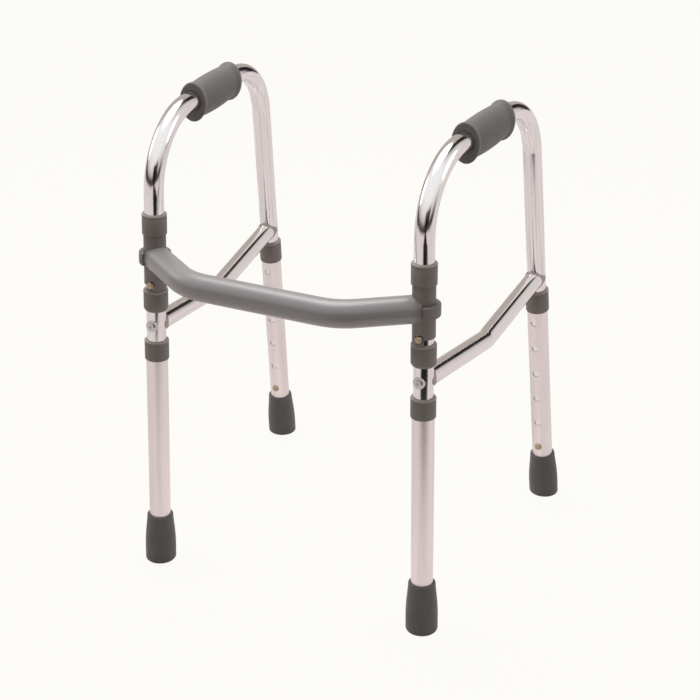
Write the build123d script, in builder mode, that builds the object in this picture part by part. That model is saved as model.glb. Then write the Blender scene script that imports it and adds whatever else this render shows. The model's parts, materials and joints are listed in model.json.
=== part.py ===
"""Folding walking frame with height-adjustable legs.

Millimetres, +Z up, origin on the floor in the middle of the frame. The front, with the bowed
crossbar, faces -Y. Left and right are as seen from the front, so left is the -X side.
"""

import os
from math import atan, cos, degrees, radians, sin, tan

from build123d import *

os.makedirs("parts", exist_ok=True)

# tubes
tube_d = 25.4
tube_bore = 22.4
leg_d = 28.6
running_gap = 0.05
leg_bore = tube_d + 2 * running_gap

# stance of the side frames
front_half_track = 198.0
foot_depth = 405.8
centre_y = 177.6
toe_out = 3.15
lean_in = 1.28
lean_back = 1.27
rear_leg_tilt = 9.17

# side frame outline, measured rearward from the front leg and up along it
rail_height = 627.0
rail_rise = tan(radians(1.2))
front_bend_radius = 93.0
rear_bend_radius = 84.0
tube_end_height = 30.0
rear_end_lift = 8.0

# side brace, along the same two directions
brace_front_height = 357.0
brace_bend = (180.0, 341.0)
brace_rear_height = 372.0
brace_bend_radius = 30.0
pad_d = 27.0
pad_wall = 3.4

# fasteners of the brace: a screw right through each leg into a plug in the brace's end
brace_screw_d = 5.0
washer_r = 7.8
washer_thick = 1.0
washer_dish = 3.0
head_r = 4.6
head_thick = 2.4
cross_slot_width = 1.1
plug_depth = 14.0

# grip
grip_start = 106.0
grip_length = 111.0
grip_half_width = 18.6
grip_half_height = 26.3
grip_drop = 3.2
grip_profile = [(0.0, 0.90), (3.0, 1.0), (9.0, 1.0), (15.0, 0.93), (55.5, 0.98)]

# collars on the front leg, as (lower edge, upper edge)
upper_collar = (482.0, 510.0)
middle_collar = (377.0, 406.0)
collar_d = 32.6
collar_chamfer = 2.0

# hinge sleeve and its lock
sleeve_d = 29.0
face_gap = 0.4
skirt_step = 8.0
skirt_edge_offset = 6.1
lock_height = 415.0
button_d = 9.6
hole_gap = 0.3
lock_hole_d = 12.0
button_stand = 2.6
button_dome = 2.2

# crossbar
crossbar_d = 35.0
crossbar_wall = 2.0
crossbar_height = 450.2
crossbar_bow = 62.0
crossbar_bend_x = 102.5
crossbar_bend_radius = 72.0
crossbar_start = 17.0
socket_start = 5.3
spigot_length = 24.0
band_height = 16.5
band_wall = 6.2

# leg extensions: top of the tube, collar edges
front_leg_collar = (307.0, 334.5)
rear_leg_collar = (316.0, 348.8)
leg_top_lip = 2.4
leg_button_height = 89.5
hole_pitch = 42.0
hole_count = 6
spring_width = 7.0
spring_gauge = 0.8
spring_length = 46.0
spring_inset = 2.2
spring_bend_height = 32.0
arm_overhang = 7.0

# rubber tips
tip_height = 71.0
tip_top_r = 17.6
tip_foot_r = 21.0
tip_skirt_height = 22.0
tip_floor = 12.0
tip_washer_hole_r = 4.1
tip_washer_thick = 1.5
tip_rounding = 3.5

SIDES = (("left", -1), ("right", 1))

tilt = tan(radians(rear_leg_tilt))
tube_r = tube_d / 2
sleeve_r = sleeve_d / 2
collar_r = collar_d / 2
leg_r = leg_d / 2


# ------------------------------------------------------------------ reference directions
def front_foot(side):
    """Where the axis of a front leg meets the floor."""
    return Vector(side * front_half_track, -centre_y, 0)


def up_leg(side):
    """Direction of a front leg, which is also the fold axis of that side."""
    return Vector(-side * tan(radians(lean_in)), tan(radians(lean_back)), 1).normalized()


def rearward(side):
    """Direction in the side frame's plane, square to the front leg."""
    level = Vector(side * sin(radians(toe_out)), cos(radians(toe_out)), 0)
    along = up_leg(side)
    return (level - along * level.dot(along)).normalized()


def side_plane(side):
    """Plane of a side frame: local X rearward, local Y up the front leg."""
    return Plane(front_foot(side), x_dir=rearward(side), z_dir=rearward(side).cross(up_leg(side)))


def front_leg_plane(side, height):
    """Plane across a front leg at a height along it, with local X rearward."""
    along = up_leg(side)
    return Plane(front_foot(side) + along * height, x_dir=rearward(side), z_dir=along)


def rear_leg_up(side):
    """Direction of a rear leg, which slants forward as it rises."""
    return (up_leg(side) - rearward(side) * tilt).normalized()


def rear_foot(side):
    """Where the axis of a rear leg meets the floor."""
    base = front_foot(side) + rearward(side) * foot_depth
    along = rear_leg_up(side)
    return base - along * (base.Z / along.Z)


def rear_leg_plane(side, height):
    """Plane across a rear leg at a height along it, with local X rearward."""
    along = rear_leg_up(side)
    across = rearward(side).cross(up_leg(side))
    return Plane(rear_foot(side) + along * height, x_dir=across.cross(along) * -1, z_dir=along)


def leg_plane(end, side, height):
    return front_leg_plane(side, height) if end == "front" else rear_leg_plane(side, height)


def rear_axis_at(height):
    """Rearward distance of the rear leg's axis at a height measured up the front leg."""
    return foot_depth - tilt * height


def radial_plane(across, offset=0.0):
    """Plane through a leg axis whose normal is the leg plane's local X, moved out along it."""
    return Plane(
        across.origin + across.x_dir * offset, x_dir=across.y_dir, z_dir=across.x_dir
    )


def lengthwise_plane(across):
    """Plane holding a leg's axis and its local X, for profiles seen from the side."""
    return Plane(across.origin, x_dir=across.x_dir, z_dir=across.x_dir.cross(across.z_dir))


def save(part, name, color):
    part.label = name
    part.color = Color(color)
    export_step(part, f"parts/{name}.step")


# ------------------------------------------------------------------ side frame tube
def side_tube(name, side):
    plane = side_plane(side)
    rail_rear = (rail_height + rail_rise * foot_depth) / (1 + rail_rise * tilt)
    rear_end = tube_end_height + rear_end_lift
    corners = [
        (0, tube_end_height),
        (0, rail_height),
        (rear_axis_at(rail_rear), rail_rear),
        (rear_axis_at(rear_end), rear_end),
    ]
    with BuildPart() as tube:
        with BuildLine(plane) as route:
            FilletPolyline(*corners, radius=(front_bend_radius, rear_bend_radius))
        with BuildSketch(Plane(route.line @ 0, z_dir=route.line % 0)):
            Circle(tube_r)
            Circle(tube_bore / 2, mode=Mode.SUBTRACT)
        sweep(path=route.line)
        holes = [
            (front_leg_plane(side, lock_height), -1),
            (front_leg_plane(side, leg_button_height), 1),
            (rear_leg_plane(side, leg_button_height), -1),
        ]
        for across, face in holes:
            with BuildSketch(radial_plane(across)):
                Circle(button_d / 2 + hole_gap)
            extrude(amount=face * leg_d, mode=Mode.SUBTRACT)
        for across in brace_ends(side):
            with BuildSketch(radial_plane(across)):
                Circle(brace_screw_d / 2)
            extrude(amount=leg_d, both=True, mode=Mode.SUBTRACT)
    save(tube.part, name, "silver")


def brace_ends(side):
    """Planes across the front and rear legs where the brace meets them."""
    rear_v = rear_axis_at(brace_rear_height)
    rear_point = side_plane(side).from_local_coords((rear_v, brace_rear_height, 0))
    along = rear_leg_up(side)
    rear_t = (rear_point - rear_foot(side)).dot(along)
    return front_leg_plane(side, brace_front_height), rear_leg_plane(side, rear_t)


# ------------------------------------------------------------------ grip
def grip(name, side):
    plane = side_plane(side)
    rise = degrees(atan(rail_rise))
    start = plane.from_local_coords((grip_start, rail_height + rail_rise * grip_start, 0))
    along = rearward(side) * cos(radians(rise)) + up_leg(side) * sin(radians(rise))
    outward = rearward(side).cross(up_leg(side))
    middle = start + along.cross(outward) * grip_drop
    stations = grip_profile + [(grip_length - at, size) for at, size in grip_profile[-2::-1]]
    with BuildPart() as sleeve:
        for at, size in stations:
            with BuildSketch(Plane(middle + along * at, x_dir=outward, z_dir=along)):
                Ellipse(grip_half_width * size, grip_half_height * size)
        loft(ruled=True)
        with BuildSketch(Plane(start, x_dir=outward, z_dir=along)):
            Circle(tube_r)
        extrude(amount=grip_length, mode=Mode.SUBTRACT)
    save(sleeve.part, name, "dimgray")


# ------------------------------------------------------------------ collars
def ring_collar(name, across, height):
    """A moulded collar with softened rims, standing on the plane across the leg."""
    with BuildPart() as collar:
        with BuildSketch(across):
            Circle(collar_r)
        extrude(amount=height)
        lower = collar.faces().filter_by(GeomType.PLANE).sort_by(Axis.Z)[0].edges()
        upper = collar.faces().filter_by(GeomType.PLANE).sort_by(Axis.Z)[-1].edges()
        chamfer(lower, length=collar_chamfer, length2=collar_chamfer / 2)
        fillet(upper, collar_chamfer / 2)
        with BuildSketch(across):
            Circle(tube_r)
        extrude(amount=height, mode=Mode.SUBTRACT)
    save(collar.part, name, "gray")


def leg_collar(name, end, side, edges):
    """Collar closing the top of a leg extension, with a lip over the tube's end."""
    low, high = edges
    with BuildPart() as collar:
        with BuildSketch(leg_plane(end, side, low)):
            Circle(collar_r)
        extrude(amount=high - low)
        fillet(collar.edges().filter_by(GeomType.CIRCLE), collar_chamfer / 2)
        with BuildSketch(leg_plane(end, side, low)):
            Circle(leg_r)
        extrude(amount=high - low - leg_top_lip, mode=Mode.SUBTRACT)
        with BuildSketch(leg_plane(end, side, low)):
            Circle(leg_bore / 2)
        extrude(amount=high - low, mode=Mode.SUBTRACT)
    save(collar.part, name, "gray")


# ------------------------------------------------------------------ hinge
def hinge_sleeve(name, side):
    """Sleeve that turns on the front leg, with the socket and spigot that hold the crossbar."""
    low = middle_collar[1] + face_gap
    high = upper_collar[0] - face_gap
    across = front_leg_plane(side, low)
    axis_point, inward = crossbar_end(side)
    with BuildPart() as sleeve:
        with BuildSketch(across):
            Circle(sleeve_r)
        extrude(amount=high - low)
        with BuildSketch(Plane(axis_point + inward * socket_start, z_dir=inward)):
            Circle(crossbar_d / 2)
        extrude(amount=crossbar_start - socket_start)
        with BuildSketch(Plane(axis_point + inward * crossbar_start, z_dir=inward)):
            Circle(crossbar_d / 2 - crossbar_wall - running_gap)
        extrude(amount=spigot_length)
        with BuildSketch(across):
            Circle(leg_bore / 2)
        extrude(amount=high - low, mode=Mode.SUBTRACT)
        with BuildSketch(across):
            with Locations((0, -side * (skirt_edge_offset + sleeve_r))):
                Rectangle(2 * sleeve_d, 2 * sleeve_r)
        extrude(amount=skirt_step, mode=Mode.SUBTRACT)
        with BuildSketch(radial_plane(front_leg_plane(side, lock_height))):
            Circle(lock_hole_d / 2)
        extrude(amount=-sleeve_d, mode=Mode.SUBTRACT)
    save(sleeve.part, name, "gray")


def crossbar_points():
    """Corners of the crossbar's centre line, from the left leg axis to the right one."""
    ends = []
    for _, side in SIDES:
        along = up_leg(side)
        ends.append(front_foot(side) + along * (crossbar_height / along.Z))
    front_y = ends[0].Y - crossbar_bow
    bends = [Vector(x, front_y, crossbar_height) for x in (-crossbar_bend_x, crossbar_bend_x)]
    return [ends[0], *bends, ends[1]]


def crossbar_end(side):
    """Where the crossbar's centre line meets a front leg's axis, and its direction from there."""
    corners = crossbar_points()
    end, towards = (corners[0], corners[1]) if side < 0 else (corners[3], corners[2])
    return end, (towards - end).normalized()


def crossbar():
    corners = crossbar_points()
    start, finish = [end + inward * crossbar_start for end, inward in map(crossbar_end, (-1, 1))]
    with BuildPart() as bar:
        with BuildLine() as route:
            FilletPolyline(start, corners[1], corners[2], finish, radius=crossbar_bend_radius)
        with BuildSketch(Plane(route.line @ 0, z_dir=route.line % 0)):
            Circle(crossbar_d / 2)
            Circle(crossbar_d / 2 - crossbar_wall, mode=Mode.SUBTRACT)
        sweep(path=route.line)
    save(bar.part, "crossbar", "lightslategray")


def hinge_band(name, side):
    """Strap round the outer half of the sleeve, closing the loop that the socket begins."""
    end, inward = crossbar_end(side)
    across = front_leg_plane(side, crossbar_height - band_height / 2)
    with BuildPart() as band:
        with BuildSketch(across):
            Circle(sleeve_r + band_wall)
        extrude(amount=band_height)
        fillet(band.edges().filter_by(GeomType.CIRCLE), collar_chamfer)
        with BuildSketch(across):
            Circle(sleeve_r)
        extrude(amount=band_height, mode=Mode.SUBTRACT)
        with BuildSketch(Plane(end + inward * socket_start, z_dir=inward)):
            Rectangle(4 * sleeve_d, 4 * sleeve_d)
        extrude(amount=2 * sleeve_d, mode=Mode.SUBTRACT)
    save(band.part, name, "gray")


# ------------------------------------------------------------------ brace
def brace_route(side):
    """Centre line of the brace, from one leg axis to the other."""
    rear_v = rear_axis_at(brace_rear_height)
    return [(0, brace_front_height), brace_bend, (rear_v, brace_rear_height)]


def brace_end(end, side):
    """Plane across the leg at a brace's end, the end's place on the axis and its direction."""
    corners = [side_plane(side).from_local_coords((v, u, 0)) for v, u in brace_route(side)]
    start = corners[0] if end == "front" else corners[2]
    return brace_ends(side)[0 if end == "front" else 1], start, corners[1] - start


def side_brace(name, side):
    plane = side_plane(side)
    clear_r = tube_r + pad_wall
    with BuildPart() as brace:
        with BuildLine(plane) as route:
            FilletPolyline(*brace_route(side), radius=brace_bend_radius)
        with BuildSketch(Plane(route.line @ 0, z_dir=route.line % 0)):
            Circle(tube_r)
            Circle(tube_bore / 2, mode=Mode.SUBTRACT)
        sweep(path=route.line)
        for across in brace_ends(side):
            with BuildSketch(across):
                Circle(clear_r)
            extrude(amount=2 * tube_d, both=True, mode=Mode.SUBTRACT)
    save(brace.part.solids().sort_by(SortBy.VOLUME)[-1], name, "silver")


def brace_pad(name, end, side):
    """Round pad between a leg tube and the coped end of the brace."""
    across, start, towards = brace_end(end, side)
    face = 1 if end == "front" else -1
    with BuildPart() as pad:
        with BuildSketch(Plane(start, z_dir=towards)):
            Circle(pad_d / 2)
        extrude(amount=tube_d)
        with BuildSketch(across):
            Circle(tube_r + pad_wall)
            Circle(tube_r, mode=Mode.SUBTRACT)
        extrude(amount=tube_d, both=True, mode=Mode.INTERSECT)
        with BuildSketch(radial_plane(across)):
            Circle(brace_screw_d / 2)
        extrude(amount=face * tube_d, mode=Mode.SUBTRACT)
    save(pad.part, name, "lightgray")


def brace_screws(name, side):
    front, rear = brace_ends(side)
    seat = tube_r + washer_thick
    with BuildPart() as screws:
        for across, face in ((front, -1), (rear, 1)):
            with BuildSketch(radial_plane(across, face * seat)):
                Circle(head_r)
            extrude(amount=face * head_thick)
            with BuildSketch(radial_plane(across, face * seat)):
                Circle(brace_screw_d / 2)
            extrude(amount=-face * (seat + tube_r + pad_wall + plug_depth))
            with BuildSketch(radial_plane(across, face * (seat + head_thick))):
                Rectangle(1.2 * head_r, cross_slot_width)
                Rectangle(cross_slot_width, 1.2 * head_r)
            extrude(amount=-face * head_thick / 2, mode=Mode.SUBTRACT)
    save(screws.part, name, "silver")


def brace_washers(name, side):
    """Washers with a hollowed underside that hugs the leg tube."""
    front, rear = brace_ends(side)
    with BuildPart() as washers:
        for across, face in ((front, -1), (rear, 1)):
            with BuildSketch(radial_plane(across, face * (tube_r - washer_dish))):
                Circle(washer_r)
                Circle(brace_screw_d / 2, mode=Mode.SUBTRACT)
            extrude(amount=face * (washer_thick + washer_dish))
        for across in (front, rear):
            with BuildSketch(across):
                Circle(tube_r)
            extrude(amount=tube_d, both=True, mode=Mode.SUBTRACT)
    save(washers.part, name, "silver")


def brace_plug(name, end, side):
    """Block inside the brace's end that the screw bites into."""
    across, start, towards = brace_end(end, side)
    face = 1 if end == "front" else -1
    with BuildPart() as plug:
        with BuildSketch(Plane(start, z_dir=towards)):
            Circle(tube_bore / 2 - hole_gap)
        extrude(amount=tube_r + pad_wall + plug_depth)
        with BuildSketch(across):
            Circle(tube_r + pad_wall)
        extrude(amount=2 * tube_d, both=True, mode=Mode.SUBTRACT)
        with BuildSketch(radial_plane(across)):
            Circle(brace_screw_d / 2)
        extrude(amount=face * 2 * tube_d, mode=Mode.SUBTRACT)
    save(plug.part, name, "dimgray")


# ------------------------------------------------------------------ leg extensions
def leg_tube(name, end, side, edges):
    base = tip_floor + tip_washer_thick
    face = 1 if end == "front" else -1
    with BuildPart() as leg:
        with BuildSketch(leg_plane(end, side, base)):
            Circle(leg_r)
            Circle(leg_bore / 2, mode=Mode.SUBTRACT)
        extrude(amount=edges[1] - leg_top_lip - base)
        for n in range(hole_count):
            height = leg_button_height + n * hole_pitch
            with BuildSketch(radial_plane(leg_plane(end, side, height))):
                Circle(button_d / 2 + hole_gap)
            extrude(amount=face * leg_d, mode=Mode.SUBTRACT)
    save(leg.part, name, "lightgray")


def rubber_tip(name, end, side):
    base = leg_plane(end, side, 0)
    below = 2 * tip_rounding
    with BuildPart() as tip:
        with BuildSketch(lengthwise_plane(base)):
            with BuildLine():
                Polyline(
                    (0, -below), (tip_foot_r, -below), (tip_foot_r, tip_skirt_height),
                    (tip_top_r, tip_height), (0, tip_height), (0, -below),
                )
            make_face()
        revolve(axis=Axis(base.origin, base.z_dir))
        fillet(tip.edges().filter_by(GeomType.CIRCLE).sort_by(Axis.Z)[-1:], tip_rounding / 2)
        split(bisect_by=Plane.XY, keep=Keep.TOP)
        fillet(tip.faces().sort_by(Axis.Z)[0].edges(), tip_rounding)
        with BuildSketch(leg_plane(end, side, tip_floor)):
            Circle(leg_r)
        extrude(amount=tip_height, mode=Mode.SUBTRACT)
    save(tip.part, name, "dimgray")


def tip_washer(name, end, side):
    with BuildPart() as washer:
        with BuildSketch(leg_plane(end, side, tip_floor)):
            Circle(leg_r - hole_gap)
            Circle(tip_washer_hole_r, mode=Mode.SUBTRACT)
        extrude(amount=tip_washer_thick)
    save(washer.part, name, "silver")


# ------------------------------------------------------------------ snap buttons
def snap_button(name, across, face, wall_r):
    """A sprung button: a domed stud on one arm of a bent strip that lies inside the tube."""
    arm = tube_bore / 2 - spring_inset
    stud_foot = arm - spring_gauge
    with BuildPart() as button:
        with BuildSketch(radial_plane(across, face * stud_foot)):
            Circle(button_d / 2)
        extrude(amount=face * (wall_r + button_stand - stud_foot))
        outer_face = button.faces().sort_by(Axis(across.origin, across.x_dir * face))[-1]
        fillet(outer_face.edges(), button_dome)
        with BuildSketch(lengthwise_plane(across)):
            with BuildLine():
                Polyline(
                    (face * arm, -arm_overhang), (face * arm, spring_bend_height),
                    (-face * arm, spring_length), (-face * arm, 0),
                )
                offset(amount=spring_gauge / 2)
            make_face()
        extrude(amount=spring_width / 2, both=True)
    save(button.part, name, "goldenrod")


# ------------------------------------------------------------------ the whole frame
crossbar()
for side_name, side in SIDES:
    side_tube(f"side_tube_{side_name}", side)
    grip(f"grip_{side_name}", side)
    for collar_name, (low, high) in (("upper", upper_collar), ("middle", middle_collar)):
        ring_collar(f"{collar_name}_collar_{side_name}", front_leg_plane(side, low), high - low)
    hinge_sleeve(f"hinge_sleeve_{side_name}", side)
    hinge_band(f"hinge_band_{side_name}", side)
    side_brace(f"side_brace_{side_name}", side)
    for end in ("front", "rear"):
        brace_pad(f"brace_pad_{end}_{side_name}", end, side)
        brace_plug(f"brace_plug_{end}_{side_name}", end, side)
    brace_screws(f"brace_screws_{side_name}", side)
    brace_washers(f"brace_washers_{side_name}", side)
    snap_button(
        f"fold_button_{side_name}", front_leg_plane(side, lock_height), -1, sleeve_r
    )
    for end, edges in (("front", front_leg_collar), ("rear", rear_leg_collar)):
        leg_name = f"{end}_{side_name}"
        leg_tube(f"leg_tube_{leg_name}", end, side, edges)
        leg_collar(f"leg_collar_{leg_name}", end, side, edges)
        rubber_tip(f"rubber_tip_{leg_name}", end, side)
        tip_washer(f"tip_washer_{leg_name}", end, side)
        face = 1 if end == "front" else -1
        snap_button(
            f"leg_button_{leg_name}", leg_plane(end, side, leg_button_height), face, leg_r
        )
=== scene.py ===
"""Walking frame: surface finishes and moulded pieces over the fixed frame."""

import json
from math import cos, pi, radians, sin

import bmesh
import bpy
from bpy.props import FloatProperty, FloatVectorProperty, IntProperty, PointerProperty
from mathutils import Matrix, Vector


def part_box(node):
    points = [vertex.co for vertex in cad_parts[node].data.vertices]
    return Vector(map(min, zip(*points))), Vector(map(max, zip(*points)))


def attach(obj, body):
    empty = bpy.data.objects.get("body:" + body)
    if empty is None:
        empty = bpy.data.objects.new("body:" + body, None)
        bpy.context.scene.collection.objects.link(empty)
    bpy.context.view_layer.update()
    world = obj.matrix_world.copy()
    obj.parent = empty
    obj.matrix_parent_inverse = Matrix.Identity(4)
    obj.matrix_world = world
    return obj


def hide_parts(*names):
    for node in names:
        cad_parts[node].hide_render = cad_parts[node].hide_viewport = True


bl_info = {
    "name": "Walking Frame",
    "version": (1, 0, 0),
    "blender": (4, 5, 0),
    "location": "3D View > Sidebar > Walking Frame",
    "description": "Builds the finish of a folding walking frame, piece by piece",
    "category": "Object",
}

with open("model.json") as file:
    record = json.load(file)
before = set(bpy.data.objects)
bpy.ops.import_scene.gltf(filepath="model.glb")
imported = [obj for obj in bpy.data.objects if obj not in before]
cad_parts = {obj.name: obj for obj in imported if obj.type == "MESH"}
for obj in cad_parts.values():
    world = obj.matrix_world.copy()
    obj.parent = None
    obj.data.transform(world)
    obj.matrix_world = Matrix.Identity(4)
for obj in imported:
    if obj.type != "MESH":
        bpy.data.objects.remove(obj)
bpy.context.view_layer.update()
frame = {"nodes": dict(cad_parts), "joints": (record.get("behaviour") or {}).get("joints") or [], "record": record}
NODES = frame["nodes"]
JOINTS = {joint["name"]: joint for joint in frame["joints"]}
MOUNTS = {mount["name"]: mount for mount in frame["record"]["mounts"]}
SIDES = ("left", "right")
LEGS = tuple(f"{end}_{side}" for end in ("front", "rear") for side in SIDES)

# what the polished metal mirrors: skies as stops of (place from 0 to 1, colour)
BLACK_CARD = (0.014, 0.013, 0.014)
FRONT_SKY = (
    (0.0, (0.02, 0.02, 0.02)),
    (0.06, (0.03, 0.028, 0.03)),
    (0.13, (0.50, 0.45, 0.43)),
    (0.30, (0.82, 0.79, 0.78)),
    (0.55, (1.0, 1.0, 1.0)),
    (0.85, (1.0, 1.02, 1.05)),
)
REAR_SKY = (
    (0.0, (0.50, 0.44, 0.41)),
    (0.01, (0.42, 0.37, 0.34)),
    (0.05, BLACK_CARD),
    (0.33, BLACK_CARD),
    (0.46, (0.70, 0.66, 0.65)),
    (1.0, (0.88, 0.85, 0.84)),
)
ROOM_SKY = (
    (0.0, (0.62, 0.585, 0.57)),
    (0.35, (0.62, 0.60, 0.60)),
    (0.85, (0.90, 0.94, 1.0)),
)
# edges of the black card beside the camera: (start, softness), as parts of a unit direction
CARD_LEFT = (-0.27, 0.08)
CARD_RIGHT = (0.42, 0.10)
CARD_TOP = (0.40, -0.05)
CARD_BACK = (0.0, 0.1)
SKIES_MEET = (-0.1, 0.6)
DIM_WAY = (0.60, -0.80, 0.0)
DIM_FROM, DIM_TO, DIMMED = -0.3, 0.7, 0.35
# softness of the flag's edges on the floor, and the lit floor's streaks
FLAG_FRONT_SOFT, FLAG_LEFT_SOFT, FLAG_RIGHT_SOFT = 0.10, 0.22, 0.25
STREAK_STRETCH = (7.0, 1.2, 1.0)
STREAK_DARK, STREAK_LIGHT = 0.78, 1.22
# name, place, diameter, watts
LIGHTS = (
    ("overhead_light", (-0.35, 0.25, 2.2), 1.5, 31.0),
    ("side_light", (2.2, 0.9, 1.5), 1.1, 7.0),
    ("left_light", (-2.2, -0.3, 1.4), 1.1, 5.0),
)
LIGHTS_AIM = Vector((0, 0, 0.35))

# most of a noise lies between these
NOISE_LOW, NOISE_HIGH = 0.3, 0.7
# patterns drawn out along a tube
LONG_MARKS = (1.0, 1.0, 0.12)
GRAIN = (1.0, 1.0, 0.05)
DRAWING_LINES = (1.0, 1.0, 0.03)

# a hinge sleeve's socket takes the crossbar's finish between these distances from the leg's axis
SOCKET_NEAR, SOCKET_FAR = 0.006375, 0.017
SLEEVE_WALL = 0.0021
# a point this far out, as a part of the farthest, lies on the socket's end
SOCKET_END = 0.9

# a grip's rims: (thickness as a part of the whole, distance in from an end)
FRONT_RIM = (
    (0.02, 0.0006), (0.06, 0.0), (0.82, 0.0), (0.94, 0.0006), (0.99, 0.0018), (1.0, 0.0034),
    (0.97, 0.0048),
)
REAR_RIM = (
    (0.985, 0.0045), (0.92, 0.0018), (0.80, 0.0003), (0.7, 0.0), (0.06, 0.0), (0.02, 0.0006),
)
# the rise from the barrel to the rear rim: (thickness, distance past the barrel)
REAR_RISE = ((0.90, 0.0022), (0.99, 0.0050))
BARREL_RINGS = 8
BARREL_FULLNESS = 2.2

# a tip's side: how many points it has, and how soon it reaches its width
TIP_SIDE_POINTS = 10
TIP_FULLNESS = 1.3


# ------------------------------------------------------------------ places taken from the frame
def joint_axis(name):
    return Vector(JOINTS[name]["axis"]).normalized()


def leg_up(leg):
    """Direction of a leg from its foot to its top."""
    return -joint_axis(f"extend_leg_{leg}")


def leg_foot(leg):
    """Where a leg's axis meets the floor."""
    return Vector(MOUNTS[f"foot_{leg}"]["pos_m"])


def along_leg(leg, point):
    """Distance of a point up a leg."""
    return (point - leg_foot(leg)).dot(leg_up(leg))


def leg_span(leg, node):
    """Lower and upper end of a ring-shaped node, measured up its leg's axis."""
    points = [along_leg(leg, v.co) for v in NODES[node].data.vertices]
    return min(points), max(points)


def leg_side(leg, point):
    """The way from a leg's axis out to a point, square to the axis."""
    offset, up = point - leg_foot(leg), leg_up(leg)
    return offset - up * offset.dot(up)


def leg_radii(leg, node):
    """Distance of each of a node's corners from a leg's axis."""
    return [leg_side(leg, v.co).length for v in NODES[node].data.vertices]


def leg_matrix(leg, height):
    """Turns a shape made round Z into one round a leg's axis, its foot at a height along it."""
    turn = Vector((0, 0, 1)).rotation_difference(leg_up(leg)).to_matrix().to_4x4()
    return Matrix.Translation(leg_foot(leg) + leg_up(leg) * height) @ turn


# ------------------------------------------------------------------ settings
class StageSettings(bpy.types.PropertyGroup):
    """Camera, floor and lights."""

    azimuth: FloatProperty(
        name="Azimuth", description="How far round the front the camera stands",
        default=radians(25.80), subtype="ANGLE",
    )
    elevation: FloatProperty(
        name="Elevation", description="How far above the horizon the camera stands",
        default=radians(25.55), subtype="ANGLE",
    )
    distance: FloatProperty(
        name="Distance", description="From the camera to the point that it looks at",
        default=2.3, unit="LENGTH",
    )
    aim: FloatVectorProperty(
        name="Aim", description="The point that the camera looks at",
        default=(0.0044, 0.0088, 0.2811), subtype="TRANSLATION", unit="LENGTH",
    )
    lens: FloatProperty(
        name="Lens", description="Focal length on a 36 mm sensor, in millimetres", default=86.6,
        unit="CAMERA",
    )
    floor_size: FloatProperty(
        name="Floor size", description="Width of the pale floor", default=12.0, unit="LENGTH",
    )
    floor_colour: FloatVectorProperty(
        name="Floor colour", description="Colour of the floor", default=(0.64, 0.60, 0.57),
        subtype="COLOR",
    )
    backdrop_colour: FloatVectorProperty(
        name="Backdrop colour", description="Colour of the light behind the object",
        default=(0.991, 0.982, 0.947), subtype="COLOR",
    )
    floor_glow: FloatProperty(
        name="Floor glow",
        description="How much of the floor is lit from below, like a light table",
        default=0.96, min=0.0, max=1.0, subtype="FACTOR",
    )
    floor_shine: FloatVectorProperty(
        name="Mirrored floor", description="Colour of the floor as the polished metal mirrors it",
        default=(0.80, 0.735, 0.73), subtype="COLOR",
    )
    flag_start: FloatProperty(
        name="Flag start", description="Where the black flag in front of the object begins",
        default=0.78, unit="LENGTH",
    )
    flag_left: FloatProperty(
        name="Flag left", description="Left edge of the black flag", default=-0.45, unit="LENGTH",
    )
    flag_right: FloatProperty(
        name="Flag right", description="Right edge of the black flag", default=0.75, unit="LENGTH",
    )


class TubeSettings(bpy.types.PropertyGroup):
    """Polished side frames, satin legs and the coated crossbar."""

    bright_colour: FloatVectorProperty(
        name="Bright tube", description="Colour of the polished tube",
        default=(0.86, 0.83, 0.82), subtype="COLOR",
    )
    bright_roughness: FloatProperty(
        name="Bright roughness", description="Roughness of the polished tube", default=0.13,
        subtype="FACTOR",
    )
    satin_colour: FloatVectorProperty(
        name="Satin tube", description="Colour of the leg extensions",
        default=(0.90, 0.835, 0.82), subtype="COLOR",
    )
    satin_roughness: FloatProperty(
        name="Satin roughness", description="Roughness of the leg extensions", default=0.38,
        subtype="FACTOR",
    )
    coat_colour: FloatVectorProperty(
        name="Crossbar coat", description="Colour of the crossbar's coating",
        default=(0.275, 0.255, 0.25), subtype="COLOR",
    )
    coat_roughness: FloatProperty(
        name="Coat roughness", description="Roughness of the crossbar's coating", default=0.36,
        subtype="FACTOR",
    )


class CollarSettings(bpy.types.PropertyGroup):
    """Moulded collars, hinge sleeves, straps and the brace's cast pads."""

    colour: FloatVectorProperty(
        name="Collar colour", description="Colour of the moulded plastic",
        default=(0.190, 0.166, 0.150), subtype="COLOR",
    )
    rounding: FloatProperty(
        name="Rim rounding", description="How far a collar's rims fall away", default=0.0019,
        unit="LENGTH",
    )
    groove: FloatProperty(
        name="Groove depth", description="Depth of the fine groove under a rim",
        default=0.0005, unit="LENGTH",
    )
    lip: FloatProperty(
        name="Lip", description="Height of the rim above the groove", default=0.0034, unit="LENGTH",
    )
    taper: FloatProperty(
        name="Taper", description="Height of the sloping edge under a middle collar",
        default=0.0022, unit="LENGTH",
    )
    shoulder: FloatProperty(
        name="Shoulder", description="Thickness of a leg collar over the leg's end",
        default=0.0024, unit="LENGTH",
    )
    segments: IntProperty(
        name="Segments", description="Sides round a collar", default=72, min=16,
    )
    edge: FloatProperty(
        name="Edge", description="Rounding of the edges of sleeves, straps and pads",
        default=0.0005, unit="LENGTH",
    )
    pad_colour: FloatVectorProperty(
        name="Pad colour", description="Colour of the brace's cast pads",
        default=(0.40, 0.35, 0.34), subtype="COLOR",
    )


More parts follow.
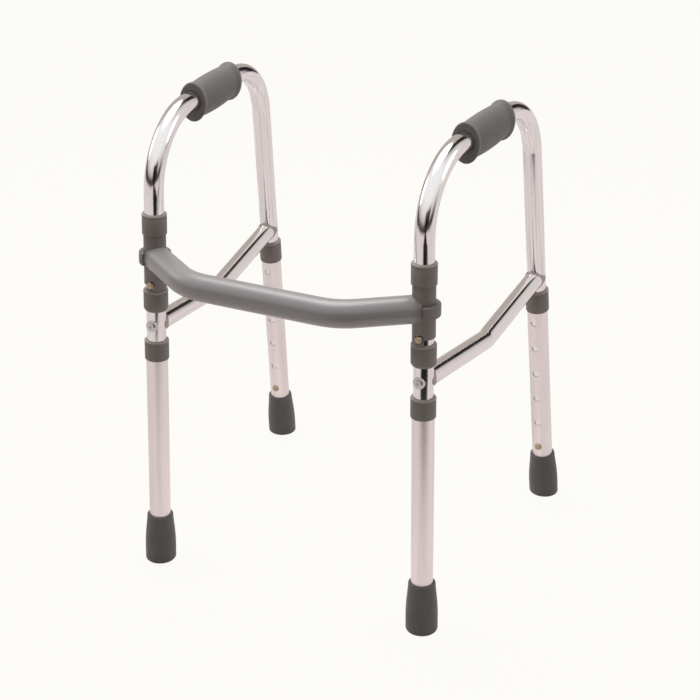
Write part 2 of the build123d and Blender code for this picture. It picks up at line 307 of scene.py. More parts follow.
class GripSettings(bpy.types.PropertyGroup):
    """Rubber hand grips."""

    colour: FloatVectorProperty(
        name="Grip colour", description="Colour of the grip's rubber",
        default=(0.130, 0.119, 0.113), subtype="COLOR",
    )
    flange_front: FloatProperty(
        name="Front rim width", description="Width of the raised rim at the front end",
        default=0.0065, unit="LENGTH",
    )
    flange_rear: FloatProperty(
        name="Rear rim width", description="Width of the raised rim at the rear end",
        default=0.0125, unit="LENGTH",
    )
    neck: FloatProperty(
        name="Neck", description="Thickness just inside a rim, as a part of the rim's",
        default=0.76, subtype="FACTOR",
    )
    crown: FloatProperty(
        name="Crown", description="Thickness at the middle, as a part of the rim's",
        default=0.93, subtype="FACTOR",
    )
    bore: FloatProperty(
        name="Bore", description="Radius of the hole that the tube passes through", default=0.0127,
        unit="LENGTH",
    )
    drop: FloatProperty(
        name="Drop", description="How far the oval hangs below the tube's axis", default=0.0032,
        unit="LENGTH",
    )
    rise: FloatProperty(
        name="Rise", description="Slope of the hand rail towards the rear", default=radians(1.2),
        subtype="ANGLE",
    )
    segments: IntProperty(
        name="Segments", description="Sides round the grip", default=64, min=16,
    )


class TipSettings(bpy.types.PropertyGroup):
    """Rubber tips of the legs."""

    colour: FloatVectorProperty(
        name="Tip colour", description="Colour of the tip's rubber",
        default=(0.103, 0.097, 0.092), subtype="COLOR",
    )
    rim: FloatProperty(
        name="Rim", description="Radius of the rounded upper rim", default=0.0018, unit="LENGTH",
    )
    foot_rounding: FloatProperty(
        name="Foot rounding", description="Radius of the edge at the floor", default=0.0036,
        unit="LENGTH",
    )
    belly: FloatProperty(
        name="Belly", description="Height at which the tip is widest", default=0.022,
        unit="LENGTH",
    )
    bore: FloatProperty(
        name="Bore", description="Radius of the hole that the leg pushes into", default=0.01434,
        unit="LENGTH",
    )
    tread: FloatVectorProperty(
        name="Tread", description="Radii of the grooves under the tip",
        default=(0.0130, 0.0088, 0.0046), unit="LENGTH",
    )
    groove: FloatProperty(
        name="Groove", description="Depth of the grooves under the tip", default=0.0012,
        unit="LENGTH",
    )
    segments: IntProperty(
        name="Segments", description="Sides round the tip", default=72, min=16,
    )


class HardwareSettings(bpy.types.PropertyGroup):
    """Screws, washers and snap buttons."""

    steel_colour: FloatVectorProperty(
        name="Plated steel", description="Colour of the screws and washers",
        default=(0.62, 0.62, 0.61), subtype="COLOR",
    )
    brass_colour: FloatVectorProperty(
        name="Button metal", description="Colour of the snap buttons",
        default=(0.52, 0.40, 0.27), subtype="COLOR",
    )


# ------------------------------------------------------------------ materials
class Graph:
    """Short ways to add and join the nodes of a material or of the world."""

    def __init__(self, tree):
        self.tree = tree

    def add(self, kind, **values):
        """Adds a node, with its sockets' values given by their names."""
        node = self.tree.nodes.new(kind)
        for key, value in values.items():
            node.inputs[key.replace("_", " ")].default_value = value
        return node

    def join(self, output, socket):
        self.tree.links.new(output, socket)

    def give(self, value, socket):
        """Joins an output to a socket, or writes a number or a colour on it."""
        if isinstance(value, bpy.types.NodeSocket):
            self.join(value, socket)
        elif socket.type == "RGBA":
            socket.default_value = (*value, 1)
        else:
            socket.default_value = value

    def math(self, operation, first, second):
        """Works with two outputs, or with an output and a number."""
        node = self.add("ShaderNodeMath")
        node.operation = operation
        self.give(first, node.inputs[0])
        self.give(second, node.inputs[1])
        return node.outputs["Value"]

    def reach(self, place, way):
        """How far a place lies in a direction."""
        node = self.add("ShaderNodeVectorMath")
        node.operation = "DOT_PRODUCT"
        node.inputs[1].default_value = way
        self.join(place, node.inputs[0])
        return node.outputs["Value"]

    def step(self, value, start, softness):
        """Goes smoothly from 0 to 1, or from 1 to 0 when the softness is negative."""
        node = self.add(
            "ShaderNodeMapRange", From_Min=start, From_Max=start + softness, To_Min=0.0, To_Max=1.0,
        )
        node.interpolation_type = "SMOOTHSTEP"
        self.join(value, node.inputs["Value"])
        return node.outputs["Result"]

    def mixed(self, factor, first, second):
        """Goes from one shader to another with a factor."""
        node = self.add("ShaderNodeMixShader")
        for output, socket in zip((factor, first, second), node.inputs):
            self.join(output, socket)
        return node.outputs["Shader"]


class Surface(Graph):
    """A material, with patterns on its object's own coordinates."""

    def __init__(self, name):
        self.material = bpy.data.materials.new(name)
        self.material.use_nodes = True
        super().__init__(self.material.node_tree)
        self.shader = self.tree.nodes["Principled BSDF"]
        self.place = self.add("ShaderNodeTexCoord").outputs["Object"]

    def noise(self, scale, detail, rough=0.5, stretch=None, turn=0.0):
        """Noise on the object's own coordinates, drawn out along an axis when stretched."""
        noise = self.add("ShaderNodeTexNoise", Scale=scale, Detail=detail, Roughness=rough)
        place = self.place
        if stretch:
            mapping = self.add("ShaderNodeMapping", Scale=stretch, Rotation=(0.0, 0.0, turn))
            self.join(place, mapping.inputs["Vector"])
            place = mapping.outputs["Vector"]
        self.join(place, noise.inputs["Vector"])
        return noise.outputs["Fac"]

    def spread(self, factor, low, high):
        """Maps a noise onto a range of numbers."""
        ranged = self.add(
            "ShaderNodeMapRange", From_Min=NOISE_LOW, From_Max=NOISE_HIGH, To_Min=low, To_Max=high,
        )
        self.join(factor, ranged.inputs["Value"])
        return ranged.outputs["Result"]

    def blend(self, factor, first, second):
        """Goes from one colour to another with a factor; each is a colour or an output."""
        mix = self.add("ShaderNodeMix")
        mix.data_type = "RGBA"
        self.give(first, mix.inputs["A"])
        self.give(second, mix.inputs["B"])
        self.join(factor, mix.inputs["Factor"])
        return mix.outputs["Result"]

    def painted(self, attribute):
        """A number painted on the mesh, or 0 where a mesh has none."""
        node = self.add("ShaderNodeAttribute")
        node.attribute_name = attribute
        return node.outputs["Fac"]

    def glow(self, colour):
        """Light of a colour or of an output's colours."""
        light = self.add("ShaderNodeEmission", Strength=1.0)
        self.give(colour, light.inputs["Color"])
        return light.outputs["Emission"]

    def bump(self, height, distance, strength):
        """Raises the surface with a pattern."""
        bump = self.add("ShaderNodeBump", Distance=distance, Strength=strength)
        self.join(height, bump.inputs["Height"])
        self.join(bump.outputs["Normal"], self.shader.inputs["Normal"])

    def colour(self, output):
        self.join(output, self.shader.inputs["Base Color"])

    def rough(self, output):
        self.join(output, self.shader.inputs["Roughness"])

    def fixed(self, **values):
        """Writes plain values on the shader's sockets."""
        for key, value in values.items():
            self.shader.inputs[key.replace("_", " ")].default_value = value


def shade(colour, by):
    """The colour made darker or lighter."""
    return tuple(min(1.0, c * by) for c in colour)


def bright_tube(settings):
    """Polished anodised aluminium with faint drawing lines and a few handling marks."""
    colour, rough = settings.bright_colour, settings.bright_roughness
    metal = Surface("bright_tube")
    metal.fixed(Metallic=1.0)
    tone = metal.noise(scale=14.0, detail=3.0)
    metal.colour(metal.blend(tone, shade(colour, 0.96), colour))
    marks = metal.noise(scale=60.0, detail=6.0, rough=0.6, stretch=LONG_MARKS)
    metal.rough(metal.spread(marks, low=rough * 0.8, high=rough * 1.35))
    lines = metal.noise(scale=900.0, detail=2.0, stretch=DRAWING_LINES)
    metal.bump(lines, distance=0.00002, strength=0.5)
    return metal.material


def satin_tube(settings):
    """Etched and anodised aluminium, finely grained along the leg."""
    colour, rough = settings.satin_colour, settings.satin_roughness
    metal = Surface("satin_tube")
    metal.fixed(Metallic=1.0)
    tone = metal.noise(scale=9.0, detail=4.0)
    metal.colour(metal.blend(tone, shade(colour, 0.95), colour))
    marks = metal.noise(scale=160.0, detail=5.0, rough=0.6, stretch=GRAIN)
    metal.rough(metal.spread(marks, low=rough * 0.88, high=rough * 1.12))
    metal.bump(metal.noise(scale=2200.0, detail=2.0, rough=0.6), distance=0.00003, strength=0.4)
    return metal.material


def coated_bar(settings):
    """Smooth powder coat with a slight orange peel."""
    colour, rough = settings.coat_colour, settings.coat_roughness
    coat = Surface("coated_bar")
    tone = coat.noise(scale=8.0, detail=3.0)
    coat.colour(coat.blend(tone, shade(colour, 0.93), shade(colour, 1.05)))
    clouds = coat.noise(scale=45.0, detail=4.0)
    coat.rough(coat.spread(clouds, low=rough * 0.9, high=rough * 1.12))
    coat.fixed(Specular_IOR_Level=0.55, Coat_Weight=0.3, Coat_Roughness=0.25)
    coat.bump(coat.noise(scale=520.0, detail=2.0, rough=0.45), distance=0.00006, strength=0.35)
    return coat.material


def moulded_plastic(name, colour, coat, roughness):
    """Moulded plastic with a spark-eroded grain, paler on its upper rims with a painted highlight, coated at the
    socket.
    """
    plastic = Surface(name)
    tone = plastic.noise(scale=18.0, detail=4.0)
    body = plastic.blend(tone, shade(colour, 0.93), shade(colour, 1.07))
    # painted highlight: up to 1.9 times lighter near the collars' upper rims, standing in for the light that falls
    # on them from above
    rim_highlit = plastic.blend(plastic.painted("rim_highlight"), body, shade(colour, 1.9))
    plastic.colour(plastic.blend(plastic.painted("socket"), rim_highlit, coat))
    clouds = plastic.noise(scale=90.0, detail=5.0)
    plastic.rough(plastic.spread(clouds, low=roughness * 0.9, high=roughness * 1.1))
    plastic.bump(plastic.noise(scale=1500.0, detail=3.0, rough=0.6), distance=0.00005, strength=0.4)
    return plastic.material


def soft_rubber(name, colour, roughness):
    """Matte moulded rubber with a dusty bloom and a fine pebbled skin."""
    rubber = Surface(name)
    bloom = rubber.noise(scale=26.0, detail=6.0, rough=0.6)
    rubber.colour(rubber.blend(bloom, shade(colour, 0.9), shade(colour, 1.12)))
    clouds = rubber.noise(scale=70.0, detail=5.0)
    rubber.rough(rubber.spread(clouds, low=roughness * 0.92, high=roughness * 1.08))
    rubber.fixed(Specular_IOR_Level=0.42, Sheen_Weight=0.12, Sheen_Roughness=0.5)
    rubber.bump(rubber.noise(scale=1300.0, detail=4.0, rough=0.65), distance=0.00009, strength=0.5)
    return rubber.material


def plated_steel(colour):
    """Bright zinc plate with a light cloudiness."""
    steel = Surface("plated_steel")
    steel.fixed(Metallic=1.0)
    tone = steel.noise(scale=120.0, detail=4.0)
    steel.colour(steel.blend(tone, shade(colour, 0.8), shade(colour, 1.08)))
    steel.rough(steel.spread(steel.noise(scale=300.0, detail=4.0), low=0.22, high=0.36))
    steel.bump(steel.noise(scale=2500.0, detail=2.0), distance=0.00002, strength=0.4)
    return steel.material


def button_brass(colour):
    """Brassy stud, duller where it has worn in its hole."""
    brass = Surface("button_brass")
    brass.fixed(Metallic=0.9)
    tone = brass.noise(scale=350.0, detail=4.0)
    brass.colour(brass.blend(tone, shade(colour, 0.7), shade(colour, 1.15)))
    brass.rough(brass.spread(brass.noise(scale=500.0, detail=4.0), low=0.3, high=0.5))
    brass.bump(brass.noise(scale=2500.0, detail=3.0), distance=0.00003, strength=0.5)
    return brass.material


def cast_pad(colour):
    """Die-cast alloy, tumbled to a dull sheen."""
    cast = Surface("cast_pad")
    cast.fixed(Metallic=0.85)
    tone = cast.noise(scale=90.0, detail=5.0)
    cast.colour(cast.blend(tone, shade(colour, 0.85), shade(colour, 1.1)))
    cast.rough(cast.spread(cast.noise(scale=220.0, detail=4.0), low=0.42, high=0.56))
    cast.bump(cast.noise(scale=1400.0, detail=4.0, rough=0.6), distance=0.00005, strength=0.5)
    return cast.material


# ------------------------------------------------------------------ shaping
def dress(material, *names):
    """Gives CAD nodes a finish."""
    for name in names:
        slots = NODES[name].data.materials
        slots.clear()
        slots.append(material)


def softened(node, width, sharp=radians(50), crease=radians(32)):
    """A merged copy of a CAD node with its sharp edges rounded a little."""
    mesh = bmesh.new()
    mesh.from_mesh(NODES[node].data)
    bmesh.ops.remove_doubles(mesh, verts=mesh.verts, dist=1e-6)
    edges = [edge for edge in mesh.edges if edge.calc_face_angle(0.0) > sharp]
    bmesh.ops.bevel(
        mesh, geom=edges, offset=width, offset_type="OFFSET", affect="EDGES", segments=2,
        profile=0.5, material=-1, clamp_overlap=True,
    )
    for edge in mesh.edges:
        edge.smooth = edge.calc_face_angle(0.0) < crease
    return mesh


def finish_piece(mesh, name, material, body, *replaced, slot=None):
    """Makes a piece from a bmesh already in place, and sets it on its body."""
    data = bpy.data.meshes.new(name)
    mesh.to_mesh(data)
    mesh.free()
    data.polygons.foreach_set("use_smooth", [True] * len(data.polygons))
    data.materials.append(material)
    piece = bpy.data.objects.new(name, data)
    bpy.context.scene.collection.objects.link(piece)
    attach(piece, body)
    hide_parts(*replaced)
    return piece


def arc(centre, radius, start, end, steps=6):
    """Points of an arc in a profile, from one angle to the other in degrees."""
    angles = [radians(start + (end - start) * n / steps) for n in range(steps + 1)]
    return [(centre[0] + radius * cos(a), centre[1] + radius * sin(a)) for a in angles]


def spun(profile, segments):
    """A closed shell round Z, from an outline that starts and ends on Z or closes on itself."""
    mesh = bmesh.new()
    points = [mesh.verts.new((r, 0, h)) for r, h in profile]
    edges = [mesh.edges.new(pair) for pair in zip(points, points[1:])]
    if profile[0][0] > 0:
        edges.append(mesh.edges.new((points[-1], points[0])))
    bmesh.ops.spin(
        mesh, geom=[*points, *edges], cent=(0, 0, 0), axis=(0, 0, 1), angle=2 * pi,
        steps=segments, use_merge=True,
    )
    bmesh.ops.remove_doubles(mesh, verts=mesh.verts, dist=1e-7)
    bmesh.ops.recalc_face_normals(mesh, faces=mesh.faces)
    return mesh


def oval(wide, tall, place, lift):
    """Turns a unit circle into an oval ring across Z."""
    return Matrix.Translation((0, lift, place)) @ Matrix.Diagonal((wide, tall, 1, 1))


def sleeved(rings, segments):
    """A hollow sleeve along Z through oval rings of (half width, half height, place, lift)."""
    mesh = bmesh.new()
    bmesh.ops.create_circle(mesh, segments=segments, radius=1.0)
    first = edges = mesh.edges[:]
    shape = oval(*rings[0])
    bmesh.ops.transform(mesh, matrix=shape, verts=mesh.verts)
    for ring in rings[1:]:
        made = bmesh.ops.extrude_edge_only(mesh, edges=edges)["geom"]
        fresh = {part for part in made if isinstance(part, bmesh.types.BMVert)}
        edges = [
            part for part in made
            if isinstance(part, bmesh.types.BMEdge) and fresh.issuperset(part.verts)
        ]
        change = oval(*ring) @ shape.inverted()
        bmesh.ops.transform(mesh, matrix=change, verts=list(fresh))
        shape = oval(*ring)
    bmesh.ops.bridge_loops(mesh, edges=[*first, *edges])
    bmesh.ops.recalc_face_normals(mesh, faces=mesh.faces)
    return mesh


# ------------------------------------------------------------------ operators
class WALKER_OT_stage(bpy.types.Operator):
    """Set up the camera, the pale floor and the soft light"""

    bl_idname = "walker.stage"
    bl_label = "Stage"

    def execute(self, context):
        settings = context.scene.walker_stage
        self.camera(context, settings)
        self.floor(context, settings)
        self.lights(context)
        self.world(context, settings)
        context.scene.view_settings.view_transform = "Standard"
        return {"FINISHED"}

    def camera(self, context, settings):
        data = bpy.data.cameras.new("camera")
        data.sensor_width = 36.0
        data.lens = settings.lens
        camera = bpy.data.objects.new("camera", data)
        level = cos(settings.elevation)
        back = Vector((
            sin(settings.azimuth) * level, -cos(settings.azimuth) * level, sin(settings.elevation),
        ))
        camera.rotation_mode = "QUATERNION"
        camera.location = Vector(settings.aim) + back * settings.distance
        camera.rotation_quaternion = (-back).to_track_quat("-Z", "Y")
        context.scene.collection.objects.link(camera)
        context.scene.camera = camera

    def floor(self, context, settings):
        mesh = bmesh.new()
        bmesh.ops.create_grid(mesh, x_segments=1, y_segments=1, size=settings.floor_size / 2)
        data = bpy.data.meshes.new("floor")
        mesh.to_mesh(data)
        mesh.free()
        paper = Surface("floor_paper")
        tone = paper.noise(scale=1.5, detail=3.0)
        paper.colour(paper.blend(tone, shade(settings.floor_colour, 0.99), settings.floor_colour))
        paper.fixed(Roughness=0.9, Specular_IOR_Level=0.1)
        self.light_table(paper, settings)
        data.materials.append(paper.material)
        floor = bpy.data.objects.new("floor", data)
        context.scene.collection.objects.link(floor)

    def light_table(self, paper, settings):
        """Makes the floor glow, and mirrors it in the metal with a black flag laid on it."""
        forward = paper.reach(paper.place, self.camera_way(settings))
        front = paper.step(forward, settings.flag_start, FLAG_FRONT_SOFT)
        across = paper.reach(paper.place, self.right_way(settings))
        left = paper.step(across, settings.flag_left, FLAG_LEFT_SOFT)
        right = paper.step(across, settings.flag_right, FLAG_RIGHT_SOFT)
        flag = paper.math("MULTIPLY", front, paper.math("SUBTRACT", left, right))
        streaks = paper.noise(
            scale=1.0, detail=2.0, stretch=STREAK_STRETCH, turn=-settings.azimuth,
        )
        lit = paper.blend(
            paper.spread(streaks, 0.0, 1.0), shade(settings.floor_shine, STREAK_DARK),
            shade(settings.floor_shine, STREAK_LIGHT),
        )
        mirrored = paper.mixed(flag, paper.glow(lit), paper.glow(BLACK_CARD))
        seen = paper.add("ShaderNodeLightPath")
        lit_from_below = paper.math("MULTIPLY", seen.outputs["Is Camera Ray"], settings.floor_glow)
        table = paper.mixed(
            lit_from_below, paper.shader.outputs["BSDF"], paper.glow(settings.backdrop_colour),
        )
        whole = paper.mixed(seen.outputs["Is Glossy Ray"], table, mirrored)
        paper.join(whole, paper.tree.nodes["Material Output"].inputs["Surface"])

    def camera_way(self, settings):
        """Level direction from the object to the camera."""
        return sin(settings.azimuth), -cos(settings.azimuth), 0.0

    def right_way(self, settings):
        """Level direction to the camera's right."""
        return cos(settings.azimuth), sin(settings.azimuth), 0.0

    def lights(self, context):
        for name, place, size, power in LIGHTS:
            data = bpy.data.lights.new(name, "AREA")
            data.shape = "DISK"
            data.size = size
            data.energy = power
            light = bpy.data.objects.new(name, data)
            light.rotation_mode = "QUATERNION"
            light.location = place
            aim = LIGHTS_AIM - Vector(place)
            light.rotation_quaternion = aim.to_track_quat("-Z", "Y")
            context.scene.collection.objects.link(light)

    def world(self, context, settings):
        """Bright room light, with the darker cards of a studio for the polished metal to mirror."""
        world = bpy.data.worlds.new("studio")
        world.use_nodes = True
        studio = Graph(world.node_tree)
        studio.tree.nodes.clear()
        way = studio.add("ShaderNodeTexCoord").outputs["Generated"]
        parts = studio.add("ShaderNodeSeparateXYZ")
        studio.join(way, parts.inputs["Vector"])
        height = parts.outputs["Z"]
        front_sky = self.sky(studio, height, FRONT_SKY)
        rear_sky = self.sky(studio, parts.outputs["X"], REAR_SKY)
        behind = studio.step(parts.outputs["Y"], *SKIES_MEET)
        skies = studio.mixed(behind, front_sky, rear_sky)
        mirrored = studio.mixed(
            self.card(studio, settings, way, height), skies, self.backdrop(studio, BLACK_CARD),
        )
        seen = studio.add("ShaderNodeLightPath")
        room = self.room_light(studio, way, height)
        whole = studio.mixed(seen.outputs["Is Glossy Ray"], room, mirrored)
        backdrop = self.backdrop(studio, settings.backdrop_colour)
        whole = studio.mixed(seen.outputs["Is Camera Ray"], whole, backdrop)
        output = studio.add("ShaderNodeOutputWorld")
        studio.join(whole, output.inputs["Surface"])
        context.scene.world = world

    def card(self, studio, settings, way, height):
        """Where the black card stands, low beside the camera: 1 on it and 0 past its edges."""
        across = studio.reach(way, self.right_way(settings))
        left, right = studio.step(across, *CARD_LEFT), studio.step(across, *CARD_RIGHT)
        wide = studio.math("SUBTRACT", left, right)
        low = studio.math("MULTIPLY", wide, studio.step(height, *CARD_TOP))
        toward = studio.step(studio.reach(way, self.camera_way(settings)), *CARD_BACK)
        return studio.math("MULTIPLY", low, toward)

    def room_light(self, studio, way, height):
        """The light that falls on the object, dimmer from one side."""
        around = self.sky(studio, height, ROOM_SKY)
        dim = studio.add(
            "ShaderNodeMapRange", From_Min=DIM_FROM, From_Max=DIM_TO, To_Min=1.0, To_Max=DIMMED,
        )
        studio.join(studio.reach(way, DIM_WAY), dim.inputs["Value"])
        studio.join(dim.outputs["Result"], around.node.inputs["Strength"])
        return around

    def backdrop(self, studio, colour):
        """One plain colour all round."""
        return studio.add("ShaderNodeBackground", Color=(*colour, 1)).outputs["Background"]

    def sky(self, studio, value, stops):
        """Background whose colour changes with a value from 0 to 1."""
        ramp = studio.add("ShaderNodeValToRGB")
        studio.join(value, ramp.inputs["Fac"])
        elements = ramp.color_ramp.elements
        for element, (position, colour) in zip(elements, (stops[0], stops[-1])):
            element.position, element.color = position, (*colour, 1)
        for position, colour in stops[1:-1]:
            elements.new(position).color = (*colour, 1)
        background = studio.add("ShaderNodeBackground")
        studio.join(ramp.outputs["Color"], background.inputs["Color"])
        return background.outputs["Background"]


class WALKER_OT_tubes(bpy.types.Operator):
    """Finish the bent side tubes, the braces, the leg extensions and the crossbar"""

    bl_idname = "walker.tubes"
    bl_label = "Tubes"

    def execute(self, context):
        settings = context.scene.walker_tubes
        bright = bright_tube(settings)
        satin = satin_tube(settings)
        for side in SIDES:
            dress(bright, f"side_tube_{side}", f"side_brace_{side}")
        for leg in LEGS:
            dress(satin, f"leg_tube_{leg}")
        dress(coated_bar(settings), "crossbar")
        return {"FINISHED"}


class WALKER_OT_collars(bpy.types.Operator):
    """Shape the collars, and finish the hinge sleeves, their straps and the brace's pads"""

    bl_idname = "walker.collars"
    bl_label = "Collars and hinges"

    def execute(self, context):
        settings = context.scene.walker_collars
        coat = context.scene.walker_tubes.coat_colour
        plastic = moulded_plastic("collar_plastic", settings.colour, coat, roughness=0.5)
        pad = cast_pad(settings.pad_colour)
        for side in SIDES:
            leg, body = f"front_{side}", f"side_frame_{side}"
            dress(plastic, f"brace_plug_front_{side}", f"brace_plug_rear_{side}")
            for node, finish, on, slot in (
                (f"hinge_sleeve_{side}", plastic, "crossbar_frame", "grey_plastic"),
                (f"hinge_band_{side}", plastic, "crossbar_frame", "grey_plastic"),
                (f"brace_pad_front_{side}", pad, body, "cast_pad"),
                (f"brace_pad_rear_{side}", pad, body, "cast_pad"),
            ):
                mesh = softened(node, settings.edge)
                if "sleeve" in node:
                    self.paint_socket(mesh, leg)
                finish_piece(mesh, f"softened_{node}", finish, on, node, slot=slot)
            self.ring(settings, plastic, leg, f"upper_collar_{side}", body)
            self.ring(settings, plastic, leg, f"middle_collar_{side}", body, settings.taper)
        for leg in LEGS:
            wall = max(leg_radii(leg, f"leg_tube_{leg}"))
            self.ring(settings, plastic, leg, f"leg_collar_{leg}", f"leg_{leg}", 0.0, wall)
        return {"FINISHED"}

    def ring(self, settings, plastic, leg, node, body, taper=0.0, wall=0.0):
        """Makes a collar round its leg, with a painted highlight that makes it paler towards its upper rim."""
        low, high = leg_span(leg, node)
        radii = leg_radii(leg, node)
        outline = self.outline(settings, max(radii), min(radii), high - low, taper, wall)
        mesh = spun(outline, settings.segments)
        # painted highlight: 1 at the collar's upper rim, falling to 0 over the lip's height
        rim_highlight = mesh.verts.layers.float.new("rim_highlight")
        for v in mesh.verts:
            v[rim_highlight] = max(0.0, 1 - (high - low - v.co.z) / settings.lip)
        bmesh.ops.transform(mesh, matrix=leg_matrix(leg, low), verts=mesh.verts)
        finish_piece(mesh, f"moulded_{node}", plastic, body, node, slot="grey_plastic")

    def paint_socket(self, mesh, leg):
        """Marks how far the crossbar's finish runs over the sleeve's socket."""
        socket = mesh.verts.layers.float.new("socket")
        sides = {v: leg_side(leg, v.co) for v in mesh.verts}
        far = max(side.length for side in sides.values())
        ends = (side for side in sides.values() if side.length > SOCKET_END * far)
        inward = sum(ends, Vector()).normalized()
        bare = min(side.length for side in sides.values()) + SLEEVE_WALL
        for v, side in sides.items():
            covered = (side.dot(inward) - SOCKET_NEAR) / (SOCKET_FAR - SOCKET_NEAR)
            v[socket] = min(1.0, max(0.0, covered)) if side.length >= bare else 0.0

    def outline(self, settings, outer, bore, height, taper, wall):
        """Section of a collar, from its lower inner edge round the outside."""
        rounding, groove, lip = settings.rounding, settings.groove, settings.lip
        inner = max(bore, wall)
        body = outer - groove * 0.6
        points = [(inner, 0)]
        if taper:
            points += [(body - rounding, 0), (body - groove, taper), (body, taper + groove * 1.5)]
        else:
            points += arc((body - rounding * 0.6, rounding * 0.6), rounding * 0.6, -90, 0)
        points += [
            (body, height - lip - groove * 2),
            (outer - groove * 1.6, height - lip - groove),
            (outer - groove * 1.2, height - lip),
        ]
        points += [
            (outer + (x - 1) * rounding, height + (y - 1) * (lip - groove))
            for x, y in arc((0, 0), 1, 15, 90)
        ]
        points += [(bore + groove, height), (bore, height - groove)]
        if wall:
            points += [(bore, height - settings.shoulder), (wall, height - settings.shoulder)]
        return points


class WALKER_OT_grips(bpy.types.Operator):
    """Shape the moulded hand grips"""

    bl_idname = "walker.grips"
    bl_label = "Hand grips"

    def execute(self, context):
        settings = context.scene.walker_grips
        rubber = soft_rubber("grip_rubber", settings.colour, roughness=0.62)
        for side in SIDES:
            self.grip(settings, side, rubber)
        return {"FINISHED"}

    def grip(self, settings, side, rubber):
        low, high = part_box(f"grip_{side}")
        centre = (low + high) / 2
        rearward = joint_axis(f"press_fold_button_{side}")
        up = joint_axis(f"fold_{side}")
        along = rearward * cos(settings.rise) + up * sin(settings.rise)
        outward = up.cross(along).normalized()
        upright = along.cross(outward)
        ways = (along, outward, upright)
        corners = [v.co - centre for v in NODES[f"grip_{side}"].data.vertices]
        spans = [sorted(corner.dot(way) for corner in corners) for way in ways]
        for way, span in zip(ways, spans):
            centre += way * (span[0] + span[-1]) / 2
        length, wide, tall = ((span[-1] - span[0]) / 2 for span in spans)
        bore = settings.bore
        rings = [
            (
                bore + (wide - bore) * fill, bore + (tall - bore) * fill, at,
                settings.drop * (1 - fill),
            )
            for fill, at in self.rings(settings, length)
        ]
        mesh = sleeved(rings, settings.segments)
        turn = Matrix((outward, upright, along)).transposed().to_4x4()
        place = Matrix.Translation(centre) @ turn
        bmesh.ops.transform(mesh, matrix=place, verts=mesh.verts)
        finish_piece(
            mesh, f"moulded_grip_{side}", rubber, f"side_frame_{side}", f"grip_{side}",
            slot="grip_rubber",
        )

    def rings(self, settings, half):
        """Rings from the bore's front to its rear: (thickness as a part of the rim's, place)."""
        barrel_front = settings.flange_front - half
        barrel_rear = half - settings.flange_rear
        middle, reach = (barrel_rear + barrel_front) / 2, (barrel_rear - barrel_front) / 2
        rings = [(fill, inset - half) for fill, inset in FRONT_RIM]
        for n in range(-BARREL_RINGS, BARREL_RINGS + 1):
            part = n / BARREL_RINGS
            full = 1 - abs(part) ** BARREL_FULLNESS
            thickness = settings.neck + (settings.crown - settings.neck) * full
            rings.append((thickness, middle + reach * part))
        rings += [(fill, barrel_rear + past) for fill, past in REAR_RISE]
        return rings + [(fill, half - inset) for fill, inset in REAR_RIM]


class WALKER_OT_tips(bpy.types.Operator):
    """Shape the rubber tips"""

    bl_idname = "walker.tips"
    bl_label = "Rubber tips"

    def execute(self, context):
        settings = context.scene.walker_tips
        rubber = soft_rubber("tip_rubber", settings.colour, roughness=0.6)
        for leg in LEGS:
            self.tip(settings, leg, rubber)
        return {"FINISHED"}

    def tip(self, settings, leg, rubber):
        """Makes a tip round its leg, level where it meets the floor."""
        node = f"rubber_tip_{leg}"
        top = leg_span(leg, node)[1]
        seat = leg_span(leg, f"tip_washer_{leg}")[0]
        radii = leg_radii(leg, node)
        corners = NODES[node].data.vertices
        rim_radius = max(
            r for r, v in zip(radii, corners) if along_leg(leg, v.co) > top - 2 * settings.rim
        )
        outline = self.profile(settings, max(radii), rim_radius, top, seat)
        mesh = spun(outline, settings.segments)
        level = {v: v.co.z for v in mesh.verts}
        slope = leg_up(leg).z
        bmesh.ops.transform(mesh, matrix=leg_matrix(leg, 0), verts=mesh.verts)
        for v in mesh.verts:
            lean = v.co.z - slope * level[v]
            kept = min(1.0, max(0.0, (level[v] - settings.foot_rounding) / settings.belly))
            v.co.z -= lean * (1 - kept)
        finish_piece(
            mesh, f"moulded_tip_{leg}", rubber, f"leg_{leg}", node, slot="tip_rubber",
        )

    def profile(self, settings, widest, rim_radius, top, seat):
        """Half outline of a tip, from its seat inside, over the rim and down to the tread."""
        rim, edge, bore = settings.rim, settings.foot_rounding, settings.bore
        points = [(0, seat), (bore, seat), (bore, top - rim)]
        points += [(bore + 0.0004, top - rim / 3), (bore + 0.0012, top)]
        points += arc((rim_radius - rim, top - rim), rim, 75, 10, steps=4)
        for n in range(1, TIP_SIDE_POINTS + 1):
            down = n / TIP_SIDE_POINTS
            bulge = sin(down * pi / 2) ** TIP_FULLNESS
            radius = rim_radius + (widest - rim_radius) * bulge
            points.append((radius, top - rim + (settings.belly - top + rim) * down))
        points += arc((widest - edge, edge), edge, 0, -90, steps=7)
        groove = settings.groove
        for ring in settings.tread:
            points += [(ring + groove, 0), (ring + groove / 2, groove)]
            points += [(ring - groove / 2, groove), (ring - groove, 0)]
        return points + [(0, 0)]


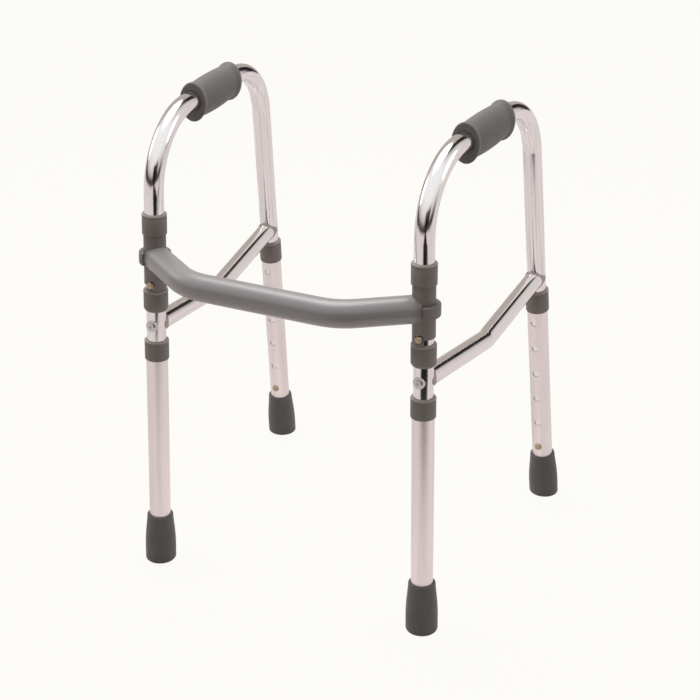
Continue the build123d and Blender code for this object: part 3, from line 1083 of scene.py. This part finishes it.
class WALKER_OT_hardware(bpy.types.Operator):
    """Finish the screws, washers and snap buttons"""

    bl_idname = "walker.hardware"
    bl_label = "Screws and buttons"

    def execute(self, context):
        settings = context.scene.walker_hardware
        steel = plated_steel(settings.steel_colour)
        brass = button_brass(settings.brass_colour)
        for side in SIDES:
            dress(steel, f"brace_screws_{side}", f"brace_washers_{side}")
            dress(brass, f"fold_button_{side}")
        for leg in LEGS:
            dress(steel, f"tip_washer_{leg}")
            dress(brass, f"leg_button_{leg}")
        return {"FINISHED"}


class WALKER_PT_panel(bpy.types.Panel):
    """Steps that make the walking frame"""

    bl_idname = "WALKER_PT_panel"
    bl_label = "Walking Frame"
    bl_space_type = "VIEW_3D"
    bl_region_type = "UI"
    bl_category = "Walking Frame"

    def draw(self, context):
        for name, settings, steps in PANEL_ROWS:
            box = self.layout.box()
            box.label(text=name)
            group = getattr(context.scene, settings)
            for key in group.bl_rna.properties.keys():
                if key not in ("rna_type", "name"):
                    box.prop(group, key)
            for step in steps:
                box.operator(step)


PANEL_ROWS = (
    ("Stage", "walker_stage", ("walker.stage",)),
    ("Tubes", "walker_tubes", ("walker.tubes",)),
    ("Collars", "walker_collars", ("walker.collars",)),
    ("Grips", "walker_grips", ("walker.grips",)),
    ("Tips", "walker_tips", ("walker.tips",)),
    ("Hardware", "walker_hardware", ("walker.hardware",)),
)
SETTINGS = {
    "walker_stage": StageSettings,
    "walker_tubes": TubeSettings,
    "walker_collars": CollarSettings,
    "walker_grips": GripSettings,
    "walker_tips": TipSettings,
    "walker_hardware": HardwareSettings,
}
CLASSES = (
    *SETTINGS.values(),
    WALKER_OT_stage,
    WALKER_OT_tubes,
    WALKER_OT_collars,
    WALKER_OT_grips,
    WALKER_OT_tips,
    WALKER_OT_hardware,
    WALKER_PT_panel,
)


def register():
    for cls in CLASSES:
        bpy.utils.register_class(cls)
    for name, cls in SETTINGS.items():
        setattr(bpy.types.Scene, name, PointerProperty(type=cls))


def unregister():
    for name in SETTINGS:
        delattr(bpy.types.Scene, name)
    for cls in reversed(CLASSES):
        bpy.utils.unregister_class(cls)


def main():
    register()
    bpy.ops.walker.stage()
    bpy.ops.walker.tubes()
    bpy.ops.walker.collars()
    bpy.ops.walker.grips()
    bpy.ops.walker.tips()
    bpy.ops.walker.hardware()


if __name__ == "__main__":
    main()
